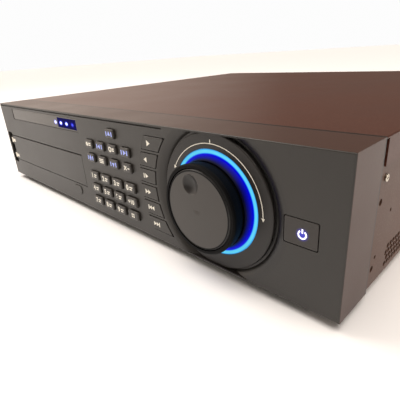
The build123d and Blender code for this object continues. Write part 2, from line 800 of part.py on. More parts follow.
def bnc_jack(x, z):
    """A bayonet jack: body in the panel, a hexagonal nut and a barrel with two lugs."""
    with BuildPart() as jack:
        with BuildSketch(facing_back(rear_panel_y)):
            with Locations((-x, z)):
                Circle(6.9)
        extrude(amount=-8)
        with BuildSketch(facing_back(back_y)):
            with Locations((-x, z)):
                Circle(bnc_body)
        extrude(amount=-sheet)
        with BuildSketch(facing_back(back_y)):
            with Locations((-x, z)):
                RegularPolygon(6.1, 6, major_radius=False)
        extrude(amount=2.4)
        with BuildSketch(facing_back(back_y)):
            with Locations((-x, z)):
                Circle(bnc_barrel)
        extrude(amount=barrel_length)
        with BuildSketch(Plane.XY.offset(z)):
            with Locations((x, back_y + 8.6)):
                Circle(1.0)
        extrude(amount=5.5, both=True)
        with BuildSketch(facing_back(back_y + barrel_length)):
            with Locations((-x, z)):
                Circle(3.9)
                Circle(2.4, mode=Mode.SUBTRACT)
        extrude(amount=-8, mode=Mode.SUBTRACT)
        with BuildSketch(facing_back(back_y + barrel_length)):
            with Locations((-x, z)):
                Circle(2.4)
        extrude(amount=-2.5, mode=Mode.SUBTRACT)
        with BuildSketch(facing_back(back_y + barrel_length)):
            with Locations((-x, z)):
                Circle(0.7)
        extrude(amount=-6, mode=Mode.SUBTRACT)
    return jack.part


with BuildPart() as bnc_sockets:
    for x, z in bnc_spots:
        add(bnc_jack(x, z))
save(bnc_sockets, "bnc_sockets")

with BuildPart() as rca_sockets:
    for x in (203, 189):
        with BuildSketch(facing_back(rear_panel_y)):
            oblong((-x - 5.5, -x + 5.5), (main_board_z + 1.6, base_z + 35.5))
        extrude(amount=-12)
    with BuildSketch(facing_back(back_y + 8.5)):
        with Locations(mirrored(rca_spots)):
            Circle(4.2)
            Circle(3.7, mode=Mode.SUBTRACT)
    extrude(amount=-8.5 - sheet)
    with BuildSketch(facing_back(back_y + 6.0)):
        with Locations(mirrored(rca_spots)):
            Circle(3.8)
            Circle(1.6, mode=Mode.SUBTRACT)
    extrude(amount=-6.0 - sheet)
save(rca_sockets, "rca_sockets")

with BuildPart() as data_sockets:
    # video: a flanged shell with pin holes and two screw posts
    with BuildSketch(facing_back(rear_panel_y)):
        oblong((-vga_spot[0] - 15.5, -vga_spot[0] + 15.5), (main_board_z + 1.6, base_z + 23))
    extrude(amount=-10)
    with BuildSketch(facing_back(rear_panel_y)):
        with Locations(mirrored([vga_spot])):
            RectangleRounded(16.6, 8.6, 2.4)
    extrude(amount=sheet + 4.8)
    with BuildSketch(facing_back(back_y + 4.8)):
        with Locations(mirrored([vga_spot])):
            with GridLocations(2.3, 2.2, 5, 3):
                Circle(0.55)
    extrude(amount=-4, mode=Mode.SUBTRACT)
    # digital video
    with BuildSketch(facing_back(back_y + 0.6)):
        with Locations(mirrored([hdmi_spot])):
            RectangleRounded(15.0, 5.6, 1.0)
            RectangleRounded(13.8, 4.4, 0.7, mode=Mode.SUBTRACT)
    extrude(amount=-12)
    with BuildSketch(facing_back(back_y - 0.6)):
        with Locations(mirrored([(hdmi_spot[0], hdmi_spot[1] + 0.2)])):
            Rectangle(11.0, 1.4)
    extrude(amount=-10)
    with BuildSketch(facing_back(back_y - 9.4)):
        with Locations(mirrored([hdmi_spot])):
            RectangleRounded(15.0, 5.6, 1.0)
    extrude(amount=-2)
    # network
    with BuildSketch(facing_back(back_y + 0.8)):
        with Locations(mirrored([lan_spot])):
            Rectangle(16.0, 13.4)
    extrude(amount=-17)
    with BuildSketch(facing_back(back_y + 0.8)):
        with Locations((-lan_spot[0], lan_spot[1] - 0.6)):
            Rectangle(11.8, 7.6)
        with Locations((-lan_spot[0], lan_spot[1] + 3.6)):
            Rectangle(6.2, 3.4)
    extrude(amount=-12, mode=Mode.SUBTRACT)
    with BuildSketch(facing_back(back_y - 0.4)):
        with Locations((-lan_spot[0], lan_spot[1] - 3.8)):
            with GridLocations(1.2, 1, 8, 1):
                Rectangle(0.5, 1.6)
    extrude(amount=-11.0)
    for x, z in usb_spots:
        add(usb_socket(-x, z, facing_back(back_y + 0.8)))
save(data_sockets, "data_sockets")

# power inlet and rocker switch in one moulding
rocker_x, rocker_z = inlet_spot[0] + 16.5, inlet_spot[1]
rocker_pivot_y = back_y - 2.6
rocker_tilt = 9.0
socket_x = inlet_spot[0] - 9.5

with BuildPart() as power_inlet:
    with BuildSketch(facing_back(back_y + 2.0)):
        with Locations(mirrored([inlet_spot])):
            RectangleRounded(*inlet_size, 2.5)
    extrude(amount=-2.0)
    fillet(power_inlet.faces().sort_by(Axis.Y)[-1].edges(), radius=0.6)
    with BuildSketch(facing_back(back_y)):
        with Locations(mirrored([inlet_spot])):
            Rectangle(inlet_size[0] - 6.0, inlet_size[1] - 4.0)
    extrude(amount=-24.0)
    # the socket's hole with two corners cut off, and its three blades
    with BuildSketch(facing_back(back_y + 2.0)):
        with Locations((-socket_x, inlet_spot[1])):
            Rectangle(24.2, 16.4)
        with Locations((-socket_x - 12.1, inlet_spot[1] + 8.2), (-socket_x + 12.1, inlet_spot[1] + 8.2)):
            Rectangle(8.0, 8.0, rotation=45, mode=Mode.SUBTRACT)
    extrude(amount=-18.0, mode=Mode.SUBTRACT)
    with BuildSketch(facing_back(back_y - 3.0)):
        for offset_x, offset_z in ((-7.0, -2.0), (0.0, 2.0), (7.0, -2.0)):
            with Locations((-socket_x + offset_x, inlet_spot[1] + offset_z)):
                Rectangle(2.0, 4.0)
    extrude(amount=-13.5)
    # the rocker's well and its pivot
    with BuildSketch(facing_back(back_y + 2.0)):
        with Locations((-rocker_x, rocker_z)):
            Rectangle(13.0, 20.4)
    extrude(amount=-12.0, mode=Mode.SUBTRACT)
    with BuildSketch(Plane.YZ.offset(rocker_x)):
        with Locations((rocker_pivot_y, rocker_z)):
            Circle(1.2)
    extrude(amount=6.6, both=True)
save(power_inlet, "power_inlet")

rocker_profile = [
    (-4.0, -4.5),
    (2.6, -8.7),
    (6.4, -8.9),
    (4.2, 0.0),
    (6.4, 8.9),
    (2.6, 8.7),
    (-4.0, 4.5),
]


def tilted(out, up):
    """A point of the rocker's profile, counted from its pivot, with the top pressed in."""
    turned_out = out * cos(radians(rocker_tilt)) - up * sin(radians(rocker_tilt))
    turned_up = out * sin(radians(rocker_tilt)) + up * cos(radians(rocker_tilt))
    return rocker_pivot_y + turned_out, rocker_z + turned_up


with BuildPart() as power_rocker:
    with BuildSketch(Plane.YZ.offset(rocker_x)):
        with BuildLine():
            Polyline(*[tilted(*point) for point in rocker_profile], close=True)
        make_face()
    extrude(amount=6.0, both=True)
    with BuildSketch(Plane.YZ.offset(rocker_x)):
        with Locations((rocker_pivot_y, rocker_z)):
            Circle(1.2 + running_gap)
    extrude(amount=7, both=True, mode=Mode.SUBTRACT)
save(power_rocker, "power_rocker")

# ---------------------------------------------------------------- fans
with BuildPart() as fan_frames:
    for x in fan_x:
        with BuildSketch(facing_back(rear_panel_y)):
            with Locations((-x, fan_z)):
                RectangleRounded(fan_size, fan_size, 3.0)
                Circle(28.3, mode=Mode.SUBTRACT)
                with GridLocations(50, 50, 2, 2):
                    Circle(2.15, mode=Mode.SUBTRACT)
        extrude(amount=-fan_depth)
        # four struts and the motor's seat
        with BuildSketch(facing_back(rear_panel_y)):
            with Locations((-x, fan_z)):
                Circle(14.5)
                Rectangle(58, 3.0, rotation=45)
                Rectangle(58, 3.0, rotation=-45)
        extrude(amount=-2.4)
        with BuildSketch(facing_back(rear_panel_y - 2.4)):
            with Locations((-x, fan_z)):
                Circle(1.5)
        extrude(amount=-11.0)
save(fan_frames, "fan_frames")

for name, x in zip(("left_fan_rotor", "right_fan_rotor"), reversed(fan_x)):
    with BuildPart() as rotor:
        with BuildSketch(facing_back(rear_panel_y - 3.4)):
            with Locations((-x, fan_z)):
                Circle(14.5)
        extrude(amount=-(fan_depth - 4.6))
        fillet(rotor.faces().sort_by(Axis.Y)[0].edges(), radius=1.5)
        for blade in range(7):
            turn = 360 / 7 * blade
            root = Plane(
                origin=(x, rear_panel_y - 3.4 - 6.8, fan_z),
                x_dir=(0, 1, 0),
                z_dir=(cos(radians(turn)), 0, sin(radians(turn))),
            )
            with BuildSketch(root.offset(13.5)):
                Rectangle(15.5, 1.4, rotation=35)
            extrude(amount=13.6)
        with BuildSketch(facing_back(rear_panel_y)):
            with Locations((-x, fan_z)):
                Circle(1.5 + running_gap)
        extrude(amount=-14.0, mode=Mode.SUBTRACT)
    save(rotor, name)

# ---------------------------------------------------------------- inside the case
with BuildPart() as main_board:
    with BuildSketch(Plane.XY.offset(main_board_z)):
        with Locations((129, 76)):
            Rectangle(168, 276)
    extrude(amount=1.6)
    chips = [
        (60, -40, 18, 18, 1.6),
        (120, -30, 60, 12, 1.2),
        (120, -8, 60, 12, 1.2),
        (190, -30, 22, 14, 2.0),
        (80, 130, 30, 30, 1.8),
        (185, 60, 24, 24, 1.8),
        (185, 110, 14, 20, 2.4),
        (60, 30, 10, 34, 9.0),
    ]
    for chip_x, chip_y, chip_width, chip_depth, chip_height in chips:
        with BuildSketch(Plane.XY.offset(main_board_z + 1.6)):
            with Locations((chip_x, chip_y)):
                Rectangle(chip_width, chip_depth)
        extrude(amount=chip_height)
    with BuildSketch(Plane.XY.offset(main_board_z + 1.6)):
        with Locations([(150 + 12 * i, 150) for i in range(5)]):
            Circle(4)
    extrude(amount=12)
save(main_board, "main_board")

with BuildPart() as heat_sink:
    with BuildSketch(Plane.XY.offset(main_board_z + 1.6)):
        with Locations((120, 50)):
            Rectangle(46, 46)
    extrude(amount=4.0)
    with BuildSketch(Plane.XY.offset(main_board_z + 5.6)):
        with Locations((120, 50)):
            with GridLocations(4.6, 1, 10, 1):
                Rectangle(1.4, 46)
    extrude(amount=16.0)
save(heat_sink, "heat_sink")

supply_x, supply_y = (-212.0, -112.0), (40.0, 186.0)
supply_height = 52.0
with BuildPart() as power_supply:
    with BuildSketch(Plane.XY.offset(base_z + sheet)):
        oblong(supply_x, supply_y)
    extrude(amount=supply_height)
    fillet(power_supply.edges().filter_by(Axis.Z), radius=1.2)
    # a folded steel box, open through the slots in its lid
    with BuildSketch(Plane.XY.offset(base_z + 2 * sheet)):
        oblong(supply_x, supply_y, grow=-sheet)
    extrude(amount=supply_height - 2 * sheet, mode=Mode.SUBTRACT)
    with BuildSketch(Plane.XY.offset(base_z + sheet + supply_height)):
        with Locations((-162, 113)):
            with GridLocations(12, 0, 7, 1):
                SlotOverall(110, 4, rotation=90)
    extrude(amount=-2 * sheet, mode=Mode.SUBTRACT)
save(power_supply, "power_supply")

drive_x = [-150.0, -38.0]
drive_size = (101.6, 147.0, 26.1)
drive_middle_y = -90.0
shelf_z = base_z + 14.0

with BuildPart() as drive_cage:
    cage_width = drive_x[1] - drive_x[0] + drive_size[0] + 5.0
    cage_x = (drive_x[0] + drive_x[1]) / 2
    with BuildSketch(facing(drive_middle_y - drive_size[1] / 2)):
        low, high = cage_x - cage_width / 2, cage_x + cage_width / 2
        oblong((low, high), (base_z + sheet, shelf_z + 24))
        oblong((low + 1.5, high - 1.5), (shelf_z, top_z), mode=Mode.SUBTRACT)
        oblong((low + 1.5, high - 1.5), (base_z, shelf_z - 1.5), mode=Mode.SUBTRACT)
    extrude(amount=-drive_size[1])
    with BuildSketch(Plane.XY.offset(shelf_z)):
        with Locations([(x, drive_middle_y) for x in drive_x]):
            with GridLocations(60, 40, 2, 3):
                SlotOverall(30, 8)
    extrude(amount=-1.5, mode=Mode.SUBTRACT)
save(drive_cage, "drive_cage")

with BuildPart() as hard_drives:
    for x in drive_x:
        with BuildSketch(Plane.XY.offset(shelf_z)):
            with Locations((x, drive_middle_y)):
                RectangleRounded(drive_size[0], drive_size[1], 2.0)
        extrude(amount=drive_size[2])
        with BuildSketch(Plane.XY.offset(shelf_z + drive_size[2])):
            with Locations((x, drive_middle_y + 6)):
                RectangleRounded(88, 112, 8.0)
        extrude(amount=-0.8, mode=Mode.SUBTRACT)
save(hard_drives, "hard_drives")
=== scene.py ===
import math

import bmesh
import bpy
from mathutils import Matrix, Vector


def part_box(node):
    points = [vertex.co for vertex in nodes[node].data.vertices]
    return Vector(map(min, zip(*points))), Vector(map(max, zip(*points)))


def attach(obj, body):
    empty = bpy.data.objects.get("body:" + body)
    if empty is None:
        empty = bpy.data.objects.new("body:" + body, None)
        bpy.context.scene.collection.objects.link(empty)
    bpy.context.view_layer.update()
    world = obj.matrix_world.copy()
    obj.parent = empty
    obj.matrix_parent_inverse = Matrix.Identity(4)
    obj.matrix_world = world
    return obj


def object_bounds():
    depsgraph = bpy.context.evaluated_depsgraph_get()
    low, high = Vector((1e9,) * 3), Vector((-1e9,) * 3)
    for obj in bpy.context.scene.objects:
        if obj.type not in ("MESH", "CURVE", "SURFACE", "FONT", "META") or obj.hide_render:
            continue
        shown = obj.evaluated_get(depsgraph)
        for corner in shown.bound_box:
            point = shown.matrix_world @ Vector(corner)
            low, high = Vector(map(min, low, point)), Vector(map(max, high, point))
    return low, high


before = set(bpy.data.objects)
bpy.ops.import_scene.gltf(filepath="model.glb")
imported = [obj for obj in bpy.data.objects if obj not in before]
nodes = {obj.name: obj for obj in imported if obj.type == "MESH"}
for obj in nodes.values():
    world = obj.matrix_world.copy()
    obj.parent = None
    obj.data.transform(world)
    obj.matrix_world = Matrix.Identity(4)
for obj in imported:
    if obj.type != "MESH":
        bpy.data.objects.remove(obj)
cadLow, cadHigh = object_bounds()
mm = 0.001
print("frame loaded:", len(nodes), "parts")


def middle(node):
    low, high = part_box(node)
    return (Vector(low) + Vector(high)) / 2


# places that the looks are built round, read from the parts
dialX, _, dialZ = middle("jog_dial")
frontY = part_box("drive_door")[0][1]
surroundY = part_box("dial_surround")[0][1]
stripLow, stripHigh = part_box("window_strip")
ledLow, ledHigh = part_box("status_leds")
powerX, _, powerZ = middle("power_button")


def toLinear(hexColour):
    channels = [int(hexColour[i : i + 2], 16) / 255 for i in (0, 2, 4)]
    return tuple(c / 12.92 if c <= 0.04045 else ((c + 0.055) / 1.055) ** 2.4 for c in channels) + (1.0,)


def addNode(tree, kind, settings=None, sockets=None):
    node = tree.nodes.new(kind)
    for key, value in (settings or {}).items():
        setattr(node, key, value)
    for key, value in (sockets or {}).items():
        if isinstance(value, bpy.types.NodeSocket):
            tree.links.new(value, node.inputs[key])
        else:
            node.inputs[key].default_value = value
    return node


def startMaterial(name):
    material = bpy.data.materials.new(name)
    material.use_nodes = True
    tree = material.node_tree
    tree.nodes.clear()
    shader = addNode(tree, "ShaderNodeBsdfPrincipled")
    addNode(tree, "ShaderNodeOutputMaterial", None, {"Surface": shader.outputs[0]})
    place = addNode(tree, "ShaderNodeTexCoord").outputs["Object"]
    return material, tree, shader, place


def fillRamp(node, stops):
    ramp = node.color_ramp
    while len(ramp.elements) < len(stops):
        ramp.elements.new(0.5)
    for element, (position, hexColour) in zip(ramp.elements, stops):
        element.position = position
        element.color = toLinear(hexColour)


def fromDial(tree, place):  # the flat offset from the dial's axis, and its length
    offset = addNode(tree, "ShaderNodeVectorMath", {"operation": "SUBTRACT"}, {
        0: place, 1: (dialX, 0, dialZ)})
    flat = addNode(tree, "ShaderNodeVectorMath", {"operation": "MULTIPLY"}, {
        0: offset.outputs[0], 1: (1, 0, 1)})
    radius = addNode(tree, "ShaderNodeVectorMath", {"operation": "LENGTH"}, {0: flat.outputs[0]})
    return flat.outputs[0], radius.outputs["Value"]


def dishShade(tree, place, colour, dish):  # painted shade: the dish's wall is darker on one side
    fromAxis, radius = fromDial(tree, place)
    depth = addNode(tree, "ShaderNodeMapRange", {"interpolation_type": "SMOOTHSTEP"}, {
        0: radius, 1: dish["fromMm"] * mm, 2: dish["toMm"] * mm, 3: 1.0, 4: 0.0})
    way = addNode(tree, "ShaderNodeVectorMath", {"operation": "NORMALIZE"}, {0: fromAxis})
    upward = addNode(tree, "ShaderNodeVectorMath", {"operation": "DOT_PRODUCT"}, {
        0: way.outputs[0], 1: dish["towards"]})
    share = addNode(tree, "ShaderNodeMapRange", {"interpolation_type": "SMOOTHSTEP"}, {
        0: upward.outputs["Value"], 1: dish["spread"][0], 2: dish["spread"][1], 3: 0.0, 4: dish["amount"]})
    shade = addNode(tree, "ShaderNodeMath", {"operation": "MULTIPLY"}, {
        0: depth.outputs[0], 1: share.outputs[0]})
    return addNode(tree, "ShaderNodeMix", {"data_type": "RGBA"}, {
        0: shade.outputs[0], 6: colour, 7: toLinear(dish["colour"])}).outputs[2]


def outerSkin(tree, place, colour, warmLightPaint):  # painted light: top and sides, all but the front, tinted warm brown where warm light falls on them
    spot = addNode(tree, "ShaderNodeSeparateXYZ", None, {0: place}).outputs
    across = addNode(tree, "ShaderNodeMath", {"operation": "ABSOLUTE"}, {0: spot[0]})
    beside = addNode(tree, "ShaderNodeMath", {"operation": "GREATER_THAN"}, {
        0: across.outputs[0], 1: warmLightPaint["besideX"]})
    above = addNode(tree, "ShaderNodeMath", {"operation": "GREATER_THAN"}, {0: spot[2], 1: warmLightPaint["aboveZ"]})
    outside = addNode(tree, "ShaderNodeMath", {"operation": "MAXIMUM"}, {
        0: beside.outputs[0], 1: above.outputs[0]})
    facing = addNode(tree, "ShaderNodeVectorMath", {"operation": "DOT_PRODUCT"}, {
        0: addNode(tree, "ShaderNodeTexCoord").outputs["Normal"], 1: (0, -1, 0)})
    away = addNode(tree, "ShaderNodeMapRange", None, {
        0: facing.outputs["Value"], 1: warmLightPaint["turned"][0], 2: warmLightPaint["turned"][1], 3: 1.0, 4: 0.0})
    warmLit = addNode(tree, "ShaderNodeMath", {"operation": "MULTIPLY"}, {
        0: outside.outputs[0], 1: away.outputs[0]})
    return addNode(tree, "ShaderNodeMix", {"data_type": "RGBA"}, {
        0: warmLit.outputs[0], 6: colour, 7: toLinear(warmLightPaint["colour"])}).outputs[2]


def seamDust(tree, place, colour, seam):  # painted shade in the joint between the bezel and the sheet behind it
    depth = addNode(tree, "ShaderNodeSeparateXYZ", None, {0: place}).outputs[1]
    past = addNode(tree, "ShaderNodeMath", {"operation": "SUBTRACT"}, {0: depth, 1: seam["y"]})
    offset = addNode(tree, "ShaderNodeMath", {"operation": "ABSOLUTE"}, {0: past.outputs[0]})
    seamShaded = addNode(tree, "ShaderNodeMapRange", None, {
        0: offset.outputs[0], 1: seam["fromMm"] * mm, 2: seam["toMm"] * mm, 3: 1.0, 4: 0.0})
    return addNode(tree, "ShaderNodeMix", {"data_type": "RGBA"}, {
        0: seamShaded.outputs[0], 6: colour, 7: toLinear(seam["colour"])}).outputs[2]


def rimLine(tree, place, colour, gapShadePaint):  # painted shade: a black line round the dial's edge, for the shade in the gap beside the shuttle ring
    _, radius = fromDial(tree, place)
    beyond = addNode(tree, "ShaderNodeMath", {"operation": "GREATER_THAN"}, {
        0: radius, 1: gapShadePaint["fromMm"] * mm})
    return addNode(tree, "ShaderNodeMix", {"data_type": "RGBA"}, {
        0: beyond.outputs[0], 6: colour, 7: toLinear(gapShadePaint["colour"])}).outputs[2]


def dimpleWear(tree, place, colour, dimple):  # painted shade: the dimple darker all over, for the shade in its hollow
    reach = addNode(tree, "ShaderNodeVectorMath", {"operation": "DISTANCE"}, {
        0: place, 1: dimple["centre"]})
    inside = addNode(tree, "ShaderNodeMapRange", None, {
        0: reach.outputs["Value"], 1: dimple["fromMm"] * mm, 2: dimple["toMm"] * mm, 3: 1.0, 4: 0.0})
    return addNode(tree, "ShaderNodeMix", {"data_type": "RGBA"}, {
        0: inside.outputs[0], 6: colour, 7: toLinear(dimple["colour"])}).outputs[2]


layers = {"dish": dishShade, "warmLightPaint": outerSkin, "seam": seamDust, "gapShadePaint": rimLine, "dimple": dimpleWear}


# Grain is drawn coarser than the real tool marks and spray, which are under 0.2 mm, so that it shows.
def surfaceFinish(look):
    material, tree, shader, place = startMaterial(look["name"])
    blotch = addNode(tree, "ShaderNodeTexNoise", None, {
        "Vector": place, "Scale": 1 / (look["blotchMm"] * mm), "Detail": 3.0, "Roughness": 0.55})
    colour = addNode(tree, "ShaderNodeMix", {"data_type": "RGBA"}, {
        0: blotch.outputs[0], 6: toLinear(look["dark"]), 7: toLinear(look["light"])}).outputs[2]
    for key, addLayer in layers.items():
        if key in look:
            colour = addLayer(tree, place, colour, look[key])
    grainPlace = place
    if "brushed" in look:  # stretched along one axis, as rolling leaves it
        grainPlace = addNode(tree, "ShaderNodeMapping", None, {
            "Vector": place, "Scale": look["brushed"]}).outputs[0]
    grain = addNode(tree, "ShaderNodeTexNoise", None, {
        "Vector": grainPlace, "Scale": 1 / (look["grainMm"] * mm), "Detail": 2.0, "Roughness": 0.6})
    if "fleck" in look:  # bright flakes in the paint
        flake = addNode(tree, "ShaderNodeMapRange", None, {
            0: grain.outputs[0], 1: 0.55, 2: 0.72, 3: 0.0, 4: look["fleckAmount"]})
        colour = addNode(tree, "ShaderNodeMix", {"data_type": "RGBA"}, {
            0: flake.outputs[0], 6: colour, 7: toLinear(look["fleck"])}).outputs[2]
    tree.links.new(colour, shader.inputs["Base Color"])
    rough = addNode(tree, "ShaderNodeMapRange", None, {
        0: blotch.outputs[0], 1: 0.3, 2: 0.7,
        3: look["rough"] - look["roughSpread"], 4: look["rough"] + look["roughSpread"]})
    tree.links.new(rough.outputs[0], shader.inputs["Roughness"])
    bump = addNode(tree, "ShaderNodeBump", None, {
        "Height": grain.outputs[0], "Strength": look["bump"], "Distance": look["grainMm"] * mm * 0.3})
    tree.links.new(bump.outputs[0], shader.inputs["Normal"])
    for socket in ("Metallic", "IOR"):
        if socket in look:
            shader.inputs[socket].default_value = look[socket]
    if "glow" in look:  # lit from behind; on the pad printed ink, a faint painted glow
        shader.inputs["Emission Color"].default_value = toLinear(look["glow"])
        shader.inputs["Emission Strength"].default_value = look["glowStrength"]
    return material


bezelDepth = 33.0 * mm
# painted shade along the joint behind the bezel, on the front, cover and sides
seam = {"y": frontY + bezelDepth, "fromMm": 0.9, "toMm": 1.4, "colour": "080706"}
# painted warm light on the bezel's top and sides
warmLightPaint = {"besideX": cadHigh[0] - 2.2 * mm, "aboveZ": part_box("front_bezel")[1][2] - 1.0 * mm,
        "turned": (0.3, 0.5), "colour": "40281f"}
# painted shade on one side of the dish's wall round the dial
dish = {"fromMm": 48.0, "toMm": 56.0, "towards": (0.82, 0, 0.57), "spread": (-0.2, 0.7), "amount": 0.9,
        "colour": "0b0a0a"}
# The front is ABS moulded against a fine sparked tool: dark, even, with a broad soft sheen.
frontAbs = surfaceFinish({
    "name": "sparkTexturedAbs", "dark": "22201d", "light": "2c2925", "blotchMm": 60.0, "grainMm": 0.9,
    "rough": 0.4, "roughSpread": 0.03, "bump": 0.2, "IOR": 1.5, "warmLightPaint": warmLightPaint, "dish": dish, "seam": seam})
# Keys are the same ABS from a smoother tool, a shade lighter.
keyAbs = surfaceFinish({
    "name": "mouldedKeyAbs", "dark": "292623", "light": "33302c", "blotchMm": 25.0, "grainMm": 0.7,
    "rough": 0.33, "roughSpread": 0.03, "bump": 0.12, "IOR": 1.5})
# The disc round the dial is the front's ABS with a finer, darker tool mark.
discAbs = surfaceFinish({
    "name": "fineTexturedAbs", "dark": "1b1918", "light": "252220", "blotchMm": 40.0, "grainMm": 0.8,
    "rough": 0.42, "roughSpread": 0.03, "bump": 0.15, "IOR": 1.45})
# The jog dial is painted ABS: a warmer, lighter satin grey.
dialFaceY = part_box("jog_dial")[0][1]
# painted shade of the gap round the jog dial
gapShadePaint = {"fromMm": 23.9, "colour": "060606"}
# painted shade in the jog dial's dimple
dimple = {"centre": (dialX - 4.2 * mm, dialFaceY, dialZ + 15.7 * mm), "fromMm": 5.6, "toMm": 6.6,
          "colour": "1a1817"}
dialPaint = surfaceFinish({
    "name": "satinPaintedAbs", "dark": "302c29", "light": "3a3632", "blotchMm": 40.0, "grainMm": 0.8,
    "rough": 0.4, "roughSpread": 0.03, "bump": 0.12, "IOR": 1.5, "gapShadePaint": gapShadePaint, "dimple": dimple})
# The shuttle ring is black ABS dyed through, dulled by hands.
ringAbs = surfaceFinish({
    "name": "dyedBlackAbs", "dark": "030304", "light": "060607", "blotchMm": 50.0, "grainMm": 3.0,
    "rough": 0.55, "roughSpread": 0.03, "bump": 0.02, "IOR": 1.18})
# The cover is baked metallic enamel on steel: brown with very small bright flakes.
coverEnamel = surfaceFinish({
    "name": "metallicBrownEnamel", "dark": "43241a", "light": "502d21", "blotchMm": 90.0, "grainMm": 0.9,
    "rough": 0.36, "roughSpread": 0.02, "bump": 0.08, "IOR": 1.34, "fleck": "8a6a5a", "fleckAmount": 0.25,
    "seam": seam})
# The sides carry the same enamel over folded sheet, laid on a little coarser.
sideEnamel = surfaceFinish({
    "name": "brownPowderEnamel", "dark": "4a342b", "light": "5c4236", "blotchMm": 70.0, "grainMm": 1.1,
    "rough": 0.42, "roughSpread": 0.04, "bump": 0.15, "IOR": 1.3, "fleck": "8f7a6c", "fleckAmount": 0.3,
    "seam": seam})
# Zinc plated sheet: pale bluish steel with faint rolling lines.
zincSheet = surfaceFinish({
    "name": "zincPlatedSheet", "dark": "8d9093", "light": "b3b6b8", "blotchMm": 14.0, "grainMm": 1.2,
    "rough": 0.34, "roughSpread": 0.08, "bump": 0.12, "Metallic": 1.0, "brushed": (0.08, 1.0, 1.0)})
# Nickel plated brass of the sockets: warm and bright.
nickel = surfaceFinish({
    "name": "nickelPlatedBrass", "dark": "b3aca0", "light": "cfc8bb", "blotchMm": 6.0, "grainMm": 0.8,
    "rough": 0.22, "roughSpread": 0.05, "bump": 0.05, "Metallic": 1.0})
brightSteel = surfaceFinish({  # plated steel of hinges and screws, tumbled smooth
    "name": "brightPlatedSteel", "dark": "c2bcae", "light": "e0dacb", "blotchMm": 4.0, "grainMm": 0.6,
    "rough": 0.26, "roughSpread": 0.06, "bump": 0.08, "Metallic": 1.0})
blackNylon = surfaceFinish({  # moulded glass-filled nylon: flat black with a dry look
    "name": "glassFilledNylon", "dark": "17181a", "light": "232427", "blotchMm": 20.0, "grainMm": 0.8,
    "rough": 0.55, "roughSpread": 0.05, "bump": 0.2, "IOR": 1.52})
softRubber = surfaceFinish({  # moulded feet
    "name": "mouldedRubber", "dark": "141414", "light": "202020", "blotchMm": 9.0, "grainMm": 0.9,
    "rough": 0.82, "roughSpread": 0.05, "bump": 0.25, "IOR": 1.5})
laminate = surfaceFinish({  # glass-epoxy board under green lacquer
    "name": "glassEpoxyBoard", "dark": "0f3d22", "light": "17532f", "blotchMm": 8.0, "grainMm": 0.9,
    "rough": 0.36, "roughSpread": 0.06, "bump": 0.2, "IOR": 1.5})
blackAnodised = surfaceFinish({  # extruded heat sink
    "name": "blackAnodisedAluminium", "dark": "1c1c1e", "light": "2a2a2d", "blotchMm": 12.0, "grainMm": 0.8,
    "rough": 0.4, "roughSpread": 0.05, "bump": 0.1, "Metallic": 0.8, "brushed": (1.0, 0.1, 1.0)})
castAluminium = surfaceFinish({  # drive castings
    "name": "dieCastAluminium", "dark": "7e8184", "light": "a4a7a9", "blotchMm": 10.0, "grainMm": 0.8,
    "rough": 0.45, "roughSpread": 0.06, "bump": 0.2, "Metallic": 1.0})
whiteInk = surfaceFinish({  # pad printed signs: opaque, slightly raised ink, with a faint painted glow
    "name": "padPrintedInk", "dark": "cbc6b8", "light": "e2ded2", "blotchMm": 3.0, "grainMm": 0.5,
    "rough": 0.5, "roughSpread": 0.05, "bump": 0.05, "IOR": 1.5, "glow": "efe9d8", "glowStrength": 0.16})
blueInk = surfaceFinish({  # sign in clear resin with a blue lamp behind
    "name": "blueLitResin", "dark": "7c8cc8", "light": "a4b0dc", "blotchMm": 3.0, "grainMm": 0.5,
    "rough": 0.3, "roughSpread": 0.05, "bump": 0.02, "IOR": 1.5, "glow": "6478d8", "glowStrength": 0.5})
whiteResin = surfaceFinish({  # sign in clear resin with a white lamp behind
    "name": "whiteLitResin", "dark": "d8d8f4", "light": "f4f4ff", "blotchMm": 3.0, "grainMm": 0.5,
    "rough": 0.3, "roughSpread": 0.05, "bump": 0.02, "IOR": 1.5, "glow": "e0e0ff", "glowStrength": 0.9})


def litRing(look):  # cast acrylic with lamps under it, brightest at one distance from the dial's axis
    material, tree, shader, place = startMaterial(look["name"])
    _, radius = fromDial(tree, place)
    along = addNode(tree, "ShaderNodeMapRange", None, {
        0: radius, 1: look["fromMm"] * mm, 2: look["toMm"] * mm, 3: 0.0, 4: 1.0})
    ramp = addNode(tree, "ShaderNodeValToRGB", None, {0: along.outputs[0]})
    fillRamp(ramp, look["stops"])
    lamps = addNode(tree, "ShaderNodeTexNoise", None, {
        "Vector": place, "Scale": 1 / (look["lampMm"] * mm), "Detail": 1.0})
    strength = addNode(tree, "ShaderNodeMapRange", None, {
        0: lamps.outputs[0], 1: 0.3, 2: 0.7, 3: look["dim"], 4: look["bright"]})
    tree.links.new(ramp.outputs[0], shader.inputs["Emission Color"])
    tree.links.new(strength.outputs[0], shader.inputs["Emission Strength"])
    shader.inputs["Base Color"].default_value = toLinear(look["base"])
    shader.inputs["Roughness"].default_value = 0.45
    shader.inputs["IOR"].default_value = 1.18
    return material


glowAcrylic = litRing({
    "name": "edgeLitAcrylic", "fromMm": 27.5, "toMm": 34.0, "lampMm": 12.0, "dim": 0.85, "bright": 1.0,
    "base": "04050c",
    "stops": [(0.0, "000000"), (0.14, "000020"), (0.28, "000090"), (0.4, "0000cc"), (0.56, "0006e4"),
              (0.6, "1c80ff"), (0.68, "62d8ff"), (0.88, "64dcff"), (1.0, "34a0f0")]})


